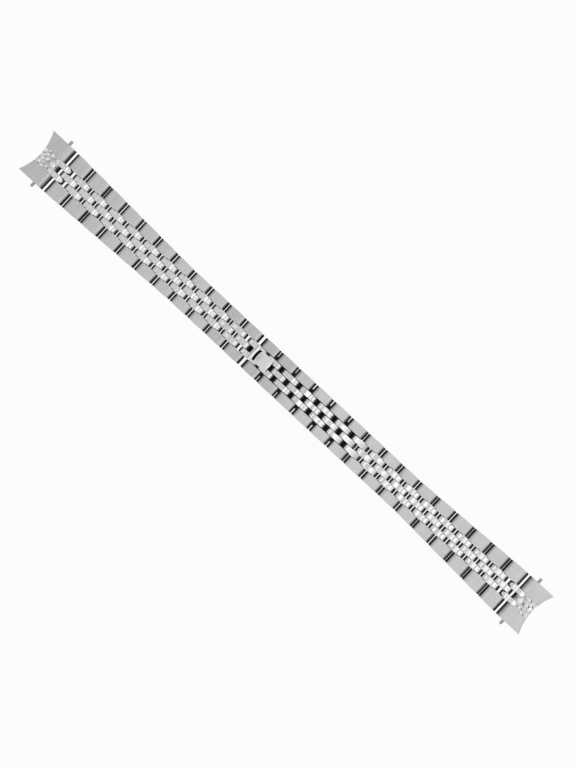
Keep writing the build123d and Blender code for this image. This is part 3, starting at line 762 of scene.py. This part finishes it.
UPPER_TOP = LINK_BOTTOM + LINK_SEAT_GAP
UPPER_BOTTOM = UPPER_TOP + BLADE_THICKNESS
LOWER_TOP = UPPER_BOTTOM + BLADE_GAP
LOWER_BOTTOM = LOWER_TOP + BLADE_THICKNESS
KNUCKLE_RADIUS = (LOWER_BOTTOM - UPPER_TOP) / 2
CLASP_HINGE = joint_place["clasp_hinge"]
SHEET_END = arch_angle(ARCH_STRETCHES, -CLASP_HINGE_BACK - KNUCKLE_RADIUS * SHEET_LAP_SHARE)


def build_lower_blade():
    mesh = Mesh()
    width = blade_width(arch_angle(0, BLADE_START + BLADE_NECK))
    add_sheet(mesh, arch_angle(0, BLADE_START), SHEET_END, LOWER_TOP, width)
    lip = LOWER_TOP + (BLADE_THICKNESS - TONGUE_THICKNESS) / 4
    add_sheet(mesh, arch_angle(0, TONGUE_START), arch_angle(0, BLADE_START + TONGUE_THICKNESS), lip, width,
              TONGUE_THICKNESS, TONGUE_STEPS)
    middle = KNUCKLE_HALF_WIDTH + ROW_GAP
    for low, high in ((-BLADE_HALF_WIDTH, -middle), (middle, BLADE_HALF_WIDTH)):
        mesh.rod(CLASP_HINGE.x, CLASP_HINGE.z, bar_profile(KNUCKLE_RADIUS, low, high), SHADE_DARKENED_BLADE)
    reach = BLADE_HALF_WIDTH + CLASP_PIN_PROUD
    mesh.rod(CLASP_HINGE.x, CLASP_HINGE.z, bar_profile(CLASP_PIN_RADIUS, -reach, reach, FINE_ROUND), BAR)
    mesh.build("clasp_lower_blade_steel", "clasp", "blade_steel", "clasp_lower_blade")


def build_upper_blade():
    mesh = Mesh()
    eye = HALF_PITCH + EYE_PIN_SHIFT
    width = blade_width(arch_angle(1, eye + NECK_REACH))
    add_sheet(mesh, arch_angle(1, eye + FORK_DEPTH), SHEET_END, UPPER_TOP, width)
    knuckle = bar_profile(KNUCKLE_RADIUS, -KNUCKLE_HALF_WIDTH, KNUCKLE_HALF_WIDTH)
    mesh.rod(CLASP_HINGE.x, CLASP_HINGE.z, knuckle, SHADE_DARKENED_BLADE)
    fork = len(mesh.points)
    for row in (-1, 1):
        low, high = row * ROW_PITCH - BEAD_WIDTH / 2, row * ROW_PITCH + BEAD_WIDTH / 2
        mesh.rod(EYE_PIN_SHIFT, 0, bar_profile(EYE_RADIUS, low, high), SHADE_DARKENED_BLADE)
        arm = soft_outline([
            (EYE_PIN_SHIFT - ARM_HALF_WIDTH, -UPPER_BOTTOM, ARM_ROUND, ARM_ROUND),
            (EYE_PIN_SHIFT + FORK_DEPTH + ARM_LAP, -UPPER_BOTTOM, 0, 0),
            (EYE_PIN_SHIFT + FORK_DEPTH + ARM_LAP, -UPPER_TOP, 0, 0),
            (EYE_PIN_SHIFT + ARM_HALF_WIDTH, -UPPER_TOP, ARM_FILLET, ARM_FILLET),
            (EYE_PIN_SHIFT + ARM_HALF_WIDTH, 0, 0, 0),
            (EYE_PIN_SHIFT - ARM_HALF_WIDTH, 0, 0, 0),
        ], SHORT_CURVE_STEPS)
        mesh.loft(arm, bevel_stations(low, high, ARM_BEVEL), SHADE_DARKENED_BLADE)
    mesh.moved(node_frame("right", "link", 1), fork)
    mesh.build("clasp_upper_blade_steel", "clasp_upper_blade", "blade_steel", "clasp_upper_blade")


def build_bracket():
    """Polished catch: wall and roof with a raised ridge and a hollow front, and two prongs."""
    first = node_frame("right", "link", 1) @ Vector((-HALF_PITCH, 0, 0))
    where = between(ARCH_START_PIN, first)
    mesh = Mesh()
    roof_x = WALL_X + ROOF_LENGTH
    roof_z = LINK_TOP - ROOF_THICKNESS
    ridge, tip = roof_x - RIDGE_BACK, roof_x + ROOF_TIP
    foot = -LOWER_TOP - BLADE_THICKNESS / 2
    outline = soft_outline([
        (WALL_X, foot, 0, 0),
        (WALL_X + WALL_THICKNESS, foot, 0, 0),
        (WALL_X + WALL_THICKNESS, roof_z, WALL_FILLET, WALL_FILLET),
        (tip, roof_z, ROOF_ROUND, ROOF_ROUND),
        (tip, LINK_TOP - RIDGE_RISE, TIP_ROUND, TIP_ROUND),
        (ridge + RIDGE_WIDTH, LINK_TOP, ROOF_ROUND, ROOF_ROUND),
        (ridge, LINK_TOP + RIDGE_CREST, RIDGE_ROUND, RIDGE_ROUND),
        (ridge - RIDGE_WIDTH, LINK_TOP, ROOF_ROUND, ROOF_ROUND),
        (WALL_X, LINK_TOP, WALL_ROUND, WALL_ROUND),
    ], BRACKET_CURVE_STEPS)

    def hollowed(x, y, z):
        front = ridge + RIDGE_WIDTH
        reach = clamped((x - front) / (tip - front))
        across = abs(y) / HOLLOW_HALF_WIDTH
        if across < 1:
            x -= reach * ROOF_HOLLOW * (1 - HOLLOW_CURVE * across**2)
        if z > roof_z and x < WALL_X + NOTCH_ZONE and abs(y) < NOTCH_HALF_WIDTH:
            x += NOTCH_DEPTH
        return x, y, z

    stations = bevel_stations(-ROWS_HALF_WIDTH, ROWS_HALF_WIDTH, BRACKET_BEVEL, BRACKET_CUTS)
    for edge in (NOTCH_HALF_WIDTH, HOLLOW_HALF_WIDTH):
        for away in (-STEP_HALF_WIDTH, STEP_HALF_WIDTH):
            stations += [(0.0, -edge - away), (0.0, edge + away)]
    # The bracket's steep walls are painted shade
    mesh.loft(outline, sorted(stations, key=lambda s: s[1]), POLISHED, hollowed, walls=PAINTED_SHADE)
    low, high = -HALF_PITCH - PRONG_BACK, WALL_X + PRONG_LAP
    steep, flat = bow(ROUND_LENGTH)
    floor = PRONG_TOP - CUSHION_DEPTH
    for row in (-1, 1):
        add_core(mesh, row, low, high, PRONG_TOP)
        prong = soft_outline([
            (low, floor, 0, 0), (high, floor, 0, 0),
            (high, PRONG_TOP - PRONG_EDGE, 0, 0), (high - PRONG_EDGE, PRONG_TOP, 0, PRONG_EDGE, PRONG_SPANS),
            (low + flat, PRONG_TOP, flat, steep), (low, PRONG_TOP - flat, 0, 0),
        ])
        add_polished(mesh, prong, cushion(row, low, high, PRONG_TOP, narrow_high=0.0), PRONG_CUTS)
    mesh.moved(where)
    mesh.build("clasp_bracket_steel", "clasp", "polished_steel", "clasp_bracket")


def build_tab():
    """Release tab: a rounded square with a soft edge and a shallow dome, on its knuckle."""
    mesh = Mesh()
    front, rear = -TAB_FRONT, TAB_REAR
    middle, half = (front + rear) / 2, (rear - front) / 2
    across, along = TAB_FRONT_CORNER
    plan = soft_outline([
        (front, -TAB_HALF_WIDTH, across, along, TAB_SPANS),
        (rear, -TAB_HALF_WIDTH, TAB_REAR_CORNER, TAB_REAR_CORNER, TAB_SPANS),
        (rear, TAB_HALF_WIDTH, TAB_REAR_CORNER, TAB_REAR_CORNER, TAB_SPANS),
        (front, TAB_HALF_WIDTH, along, across, TAB_FRONT_SPANS),
    ], TAB_CURVE_STEPS)
    bulged = []
    for x, y in plan:
        share = clamped((middle - x) / half)
        bulged.append((x - TAB_FRONT_BULGE * share**2 * (1 - (y / TAB_HALF_WIDTH) ** 2), y))
    rim = TAB_EDGE + TAB_DOME - TAB_CROWN
    rings = []
    for inset, z in ((TAB_CHAMFER, 0.0), (0.0, TAB_CHAMFER), (0.0, TAB_EDGE)):
        ring = []
        for x, y in shrunk(bulged, inset):
            # The underside rises behind the pivot, which clears the beads as the tab lifts
            tail = clamped((x - TAB_PIVOT_X) / (rear - inset - TAB_PIVOT_X))
            ring.append((x, y, TAB_UNDERSIDE + z + (TAB_EDGE - z) * tail))
        rings.append(ring)
    for inset in TAB_ROLL_SHARES:
        drop = (rim - TAB_EDGE) * (1 - math.sqrt(1 - (1 - inset) ** 2))
        rings.append([(x, y, TAB_UNDERSIDE + rim - drop) for x, y in shrunk(bulged, inset * TAB_ROLL)])
    edge = rings[-1]
    for share in TAB_CROWN_SHARES:
        ring = []
        for x, y, _ in edge:
            u, v = share * (x - middle) / half, share * y / TAB_HALF_WIDTH
            crown = TAB_CROWN * (1 - min(1.0, u * u)) * (1 - v * v)
            ring.append((middle + u * half, v * TAB_HALF_WIDTH, TAB_UNDERSIDE + rim + crown))
        rings.append(ring)
    mesh.skin(rings, SATIN)
    half_knuckle = TAB_KNUCKLE_WIDTH / 2
    mesh.rod(TAB_PIVOT_X, TAB_PIVOT_Z, bar_profile(TAB_KNUCKLE_RADIUS, -half_knuckle, half_knuckle), SATIN)
    leg_front, leg_top = TAB_PIVOT_X - TAB_KNUCKLE_RADIUS, TAB_UNDERSIDE + TAB_CHAMFER
    leg = [(leg_front, TAB_PIVOT_Z), (TAB_PIVOT_X, TAB_PIVOT_Z), (TAB_PIVOT_X, leg_top), (leg_front, leg_top)]
    mesh.loft(leg, bevel_stations(-half_knuckle, half_knuckle, TAB_LEG_BEVEL), SATIN)
    mesh.moved(node_frame("right", "link", 1))
    mesh.build("release_tab_steel", "release_tab", "polished_steel", "release_tab")


# End links and spring bars, in the frame of the first hinge pin: X is minus towards the case

CASE_RADIUS = (SEAT_HALF_WIDTH**2 + CASE_HOLLOW**2) / (2 * CASE_HOLLOW)


def case_edge(y):
    """X of the end link's hollow side."""
    return -CASE_TIP + CASE_HOLLOW - CASE_RADIUS + math.sqrt(CASE_RADIUS**2 - y * y)


def end_top(x):
    """Height of the end link's top, which falls towards the case."""
    return END_TOP - (END_TOP - END_CASE_TOP) * clamped((-BAR_DISTANCE - x) / (CASE_TIP - BAR_DISTANCE))


def end_shape(sunk):
    """Bends the straight case side to its hollow, and lowers the stamped centre."""
    def shape(x, y, z):
        inner = -CASE_TIP + CASE_HOLLOW + END_WALL
        in_roof = z > END_CASE_TOP - END_ROOF + END_SKIN
        if x < inner - 2 * STEP_HALF_WIDTH or (in_roof and x < -BAR_DISTANCE):
            x += (case_edge(y) + CASE_TIP) * clamped((-BAR_DISTANCE - x) / (CASE_TIP - BAR_DISTANCE))
        if in_roof and sunk and abs(y) < CENTRE_HALF_WIDTH:
            z -= CENTRE_DROP
            if abs(y) < ROW_PITCH / 2:
                z -= RAMP_SLOPE * max(0.0, x + RAMP_START)
        return x, y, z

    return shape


def add_end_shell(mesh):
    roof = END_CASE_TOP - END_ROOF
    inner = -CASE_TIP + CASE_HOLLOW + END_WALL
    front = -FLAT_EDGE - END_WALL
    steep, flat = bow(EDGE_LENGTH)
    top = [
        (-FLAT_EDGE, END_TOP - flat, 0, 0),
        (-FLAT_EDGE - flat, END_TOP, steep, flat, END_EDGE_SPANS),
        (-BAR_DISTANCE, END_TOP, END_TOP_ROUND, END_TOP_ROUND, END_TOP_SPANS),
        (-CASE_TIP, END_CASE_TOP, END_RIM, END_RIM, END_CASE_SPANS),
    ]
    back_foot = (-CASE_TIP, -LINK_BOTTOM, END_FOOT_ROUND, END_FOOT_ROUND)
    front_foot = (-FLAT_EDGE, -LINK_BOTTOM, END_FOOT_ROUND, END_FOOT_ROUND)
    hollow = soft_outline([
        back_foot,
        (inner, -LINK_BOTTOM, END_INSIDE_ROUND, END_INSIDE_ROUND),
        (inner, roof, END_ROOF_ROUND, END_ROOF_ROUND),
        (front, roof, END_ROOF_ROUND, END_ROOF_ROUND),
        (front, -LINK_BOTTOM, END_INSIDE_ROUND, END_INSIDE_ROUND),
        front_foot, *top,
    ])
    solid = soft_outline([back_foot, front_foot, *top])
    wall = SEAT_HALF_WIDTH - END_SIDE_WALL
    step = (CENTRE_HALF_WIDTH + 2 * STEP_HALF_WIDTH, CENTRE_HALF_WIDTH - 2 * STEP_HALF_WIDTH)
    halves = [wall, *END_CUTS, *step, *CENTRE_CUTS]
    places = [-y for y in halves] + [0.0] + halves[::-1]
    edge = -FLAT_EDGE - STEP_HALF_WIDTH
    # Here and below, the steep end wall facing the first link is painted shade
    mesh.loft(hollow, [(0.0, y) for y in places], BRUSHED, end_shape(True), walls=PAINTED_SHADE, beyond=edge)
    side = [s for s in bevel_stations(0, END_SIDE_WALL, END_RIM, 2) if s[1] > END_SIDE_WALL / 3]
    for sign in (-1, 1):
        stations = [(inset, sign * (wall + y)) for inset, y in [(0.0, -STEP_HALF_WIDTH)] + side]
        mesh.loft(solid, stations, BRUSHED, end_shape(False), walls=PAINTED_SHADE, beyond=edge)


def add_stamped_row(mesh, row):
    """Row of the stamped centre: grooves cross it and leave soft lozenges."""
    low, high = row * ROW_PITCH - BEAD_WIDTH / 2, row * ROW_PITCH + BEAD_WIDTH / 2
    finish = -FINGER_ROOT - STAMP_LAP if row else -STUB_BACK + STAMP_LAP / 2
    rings = []
    for i in range(STAMP_SPANS + 1):
        share = i / STAMP_SPANS
        ring = []
        for j in range(STAMP_CUTS + 1):
            q = j / STAMP_CUTS
            y = low + (high - low) * q
            x = (case_edge(y) + STAMP_INSET) * (1 - share) + finish * share
            p = (x + CASE_TIP) / STAMP_CELL + STAMP_PHASES[row + 1]
            first = abs((p - q + 0.5) % 1.0 - 0.5)
            second = abs((p * STAMP_SKEW + q + 0.5) % 1.0 - 0.5)
            groove = math.exp(-(first / GROOVE_WIDTH) ** 2) + math.exp(-(second / GROOVE_WIDTH) ** 2)
            rim = math.exp(-(min(q, 1 - q) / STAMP_RIM_WIDTH) ** 2)
            rise = ROW_RISE - STAMP_DEPTH * min(1.0, groove) - STAMP_RIM_DROP * rim
            ring.append((x, y, end_top(x) - CENTRE_DROP + rise))
        bottom = end_top(ring[0][0]) - CENTRE_DROP - STAMP_THICKNESS
        ring += [(ring[-1][0], high, bottom), (ring[0][0], low, bottom)]
        rings.append(ring)
    # The row's two end faces are painted shade
    mesh.skin(rings, POLISHED, caps=(PAINTED_SHADE, PAINTED_SHADE))


def add_stub(mesh):
    """Half bead in the middle row, above the spring bar."""
    add_polished(mesh, cushion_outline(-STUB_BACK, -STUB_FRONT, STUB_SPANS, (STUB_ROUND, STUB_ROUND)),
                 cushion(0, -STUB_BACK, -STUB_FRONT, BEAD_TOP, STUB_TAPER, STUB_TAPER, POINTED, POINTED,
                         (STUB_BEND, STUB_BEND)))


def add_finger(mesh, row):
    """Pointed finger that reaches from the end link over the first hinge pin."""
    add_core(mesh, row, -FLAT_EDGE - END_WALL, FINGER_TIP, BEAD_TOP)
    add_polished(mesh, cushion_outline(-FINGER_ROOT, FINGER_TIP, BEAD_SPANS, FINGER_ROUNDS),
                 cushion(row, -FINGER_ROOT, FINGER_TIP, BEAD_TOP, *FINGER_TAPERS, POINTED, POINTED))


def tip_profile(sign, root):
    """Stem, shoulder and rounded nose of one end of a spring bar."""
    shoulder, reach = SEAT_HALF_WIDTH + TIP_SHOULDER, SEAT_HALF_WIDTH + TIP_OVERHANG
    places = [(STEM_RADIUS, root), (STEM_RADIUS, shoulder - TIP_STEP), (TIP_RADIUS, shoulder)]
    places += [(TIP_RADIUS * share, reach - back) for share, back in TIP_NOSE]
    return [(radius, sign * y) for radius, y in places]


def build_spring_bar(side, seat):
    """Barrel with one fixed tip, and the plunger, which slides inside it."""
    barrel, plunger = Mesh(), Mesh()
    barrel.rod(0, 0, [
        (BAR_END_RADIUS, -BAR_HALF_LENGTH), (BAR_RADIUS, -BAR_HALF_LENGTH + BAR_END_LENGTH),
        (BAR_RADIUS, BAR_HALF_LENGTH - BAR_END_LENGTH), (BAR_END_RADIUS, BAR_HALF_LENGTH),
        *tip_profile(1, BAR_HALF_LENGTH),
    ], BAR)
    barrel.moved(seat)
    barrel.build(f"spring_bar_{side}_barrel", f"end_link_{side}", "bar_steel", f"spring_bar_{side}_body")
    plunger.rod(0, 0, tip_profile(-1, BAR_HALF_LENGTH - TIP_STEM), BAR)
    plunger.moved(seat)
    name = f"spring_bar_{side}_plunger"
    plunger.build(f"spring_bar_{side}_tip", name, "bar_steel", name)


def build_end_link(side):
    name, pin = (f"end_link_{side}", FIRST_PIN if side == "left" else LAST_PIN)
    place = Matrix.Translation(pin)
    if side == "right":
        place = place @ Matrix.Scale(-1, 4, (1, 0, 0))
    shell, centre = Mesh(), Mesh()
    add_end_shell(shell)
    for row in (-1, 0, 1):
        add_stamped_row(centre, row)
    add_stub(centre)
    for row in (-1, 1):
        add_finger(centre, row)
    for mesh, part, slot in ((shell, "shell", "brushed_steel"), (centre, "centre", "polished_steel")):
        mesh.moved(place)
        mesh.build(f"{name}_{part}", name, slot, name)
    build_spring_bar(side, place @ Matrix.Translation((-BAR_DISTANCE, 0, BAR_HEIGHT)))


for side, count in (("left", LEFT_LINKS), ("right", RIGHT_LINKS)):
    for number in range(1, count + 1):
        if (side, number) == ("right", 1):
            build_first_right_link()
        else:
            build_link(side, number)
        if number < count:
            build_beads(side, number)
    build_end_link(side)
build_lower_blade()
build_upper_blade()
build_bracket()
build_tab()


# Stage: floor, world and camera

def build_floor():
    half = FLOOR_HALF_SIZE
    mesh = bpy.data.meshes.new("floor")
    corners = [(-half, -half, 0), (half, -half, 0), (half, half, 0), (-half, half, 0)]
    mesh.from_pydata(corners, [], [(0, 1, 2, 3)])
    floor = bpy.data.objects.new("floor", mesh)
    floor.location.z = cad_low.z - FLOOR_GAP
    bpy.context.scene.collection.objects.link(floor)
    material = bpy.data.materials.new("floor")
    material.use_nodes = True
    tree = material.node_tree
    tree.nodes.clear()
    paper = add_node(tree, "ShaderNodeBsdfDiffuse", {"Color": (0.95, 0.95, 0.95, 1)})
    glow = add_node(tree, "ShaderNodeEmission", {"Color": (1, 1, 1, 1), "Strength": 1.0})
    seen = add_node(tree, "ShaderNodeLightPath")
    direct = add_node(tree, "ShaderNodeMath", {
        0: seen.outputs["Is Camera Ray"], 1: seen.outputs["Is Glossy Ray"],
    }, operation="MAXIMUM")
    part = add_node(tree, "ShaderNodeMath", {0: direct.outputs["Value"], 1: FLOOR_GLOW}, operation="MULTIPLY")
    mix = add_node(tree, "ShaderNodeMixShader", {0: part.outputs["Value"]})
    tree.links.new(paper.outputs["BSDF"], mix.inputs[1])
    tree.links.new(glow.outputs["Emission"], mix.inputs[2])
    out = add_node(tree, "ShaderNodeOutputMaterial")
    tree.links.new(mix.outputs["Shader"], out.inputs["Surface"])
    floor.data.materials.append(material)


# Brightness of the studio by the X part of a direction: a broad soft light above, dark flags at both ends
STUDIO = [
    (-1.0, 0.03), (-0.94, 0.03), (-0.82, 0.4), (-0.62, 0.64), (-0.5, 0.68), (-0.45, 1.0),
    (-0.41, 0.68), (-0.35, 0.7), (-0.32, 1.1), (-0.29, 0.7), (-0.23, 0.66), (-0.2, 0.86),
    (-0.17, 0.64), (-0.12, 0.84), (-0.09, 0.64), (-0.055, 0.67), (-0.03, 1.4), (0.02, 1.4),
    (0.04, 0.66), (0.08, 0.66), (0.105, 1.25), (0.145, 1.25), (0.175, 0.72), (0.24, 0.72),
    (0.27, 1.5), (0.3, 1.5), (0.32, 0.8), (0.345, 1.25), (0.44, 0.9), (0.66, 0.62), (0.86, 0.03),
    (1.0, 0.03),
]
# Slats of the light: the share of its strength in each sine wave, and that wave's rate along X
SLATS = [(0.1, 150.0), (0.07, 97.0)]


def build_world():
    """White where the camera sees it, and the studio for all other rays."""
    world = bpy.data.worlds.new("studio")
    bpy.context.scene.world = world
    world.use_nodes = True
    tree = world.node_tree
    tree.nodes.clear()
    place = add_node(tree, "ShaderNodeTexCoord")
    split = add_node(tree, "ShaderNodeSeparateXYZ", {"Vector": place.outputs["Generated"]})
    side = add_node(tree, "ShaderNodeValToRGB", {"Fac": ranged(tree, split.outputs["X"], 0, 1, -1, 1)})
    ramp = side.color_ramp
    for element, (x, value) in zip(list(ramp.elements), (STUDIO[0], STUDIO[-1])):
        element.position, element.color = (x + 1) / 2, (value, value, value, 1)
    for x, value in STUDIO[1:-1]:
        ramp.elements.new((x + 1) / 2).color = (value, value, value, 1)
    strength = 1.0
    for share, rate in SLATS:
        turned = add_node(tree, "ShaderNodeMath", {0: split.outputs["X"], 1: rate}, operation="MULTIPLY")
        wave = add_node(tree, "ShaderNodeMath", {0: turned.outputs["Value"]}, operation="SINE")
        added = add_node(tree, "ShaderNodeMath", {0: wave.outputs["Value"], 1: share, 2: strength},
                         operation="MULTIPLY_ADD")
        strength = added.outputs["Value"]
    around = add_node(tree, "ShaderNodeBackground", {"Color": side.outputs["Color"], "Strength": strength})
    white = add_node(tree, "ShaderNodeBackground", {"Color": (1, 1, 1, 1), "Strength": 1.0})
    seen = add_node(tree, "ShaderNodeLightPath")
    mix = add_node(tree, "ShaderNodeMixShader", {0: seen.outputs["Is Camera Ray"]})
    tree.links.new(around.outputs["Background"], mix.inputs[1])
    tree.links.new(white.outputs["Background"], mix.inputs[2])
    out = add_node(tree, "ShaderNodeOutputWorld")
    tree.links.new(mix.outputs["Shader"], out.inputs["Surface"])


def build_camera():
    data = bpy.data.cameras.new("camera")
    data.lens, data.sensor_width = LENS, SENSOR
    distance = PHOTO_LONG_SIDE / PIXELS_PER_MM * MM * LENS / SENSOR
    right = Vector((math.cos(PHOTO_ROLL), math.sin(PHOTO_ROLL), 0))
    up = Vector((-math.sin(PHOTO_ROLL), math.cos(PHOTO_ROLL), 0))
    camera = bpy.data.objects.new("camera", data)
    camera.location = (right * PHOTO_CENTRE_RIGHT - up * PHOTO_CENTRE_DOWN) * MM
    camera.location.z = distance + 2 * LINK_TOP * MM
    camera.rotation_euler = (0, 0, PHOTO_ROLL)
    data.clip_start, data.clip_end = 0.01, 50
    bpy.context.scene.collection.objects.link(camera)
    bpy.context.scene.camera = camera


build_floor()
build_world()
build_camera()
bpy.context.scene.view_settings.view_transform = "Standard"
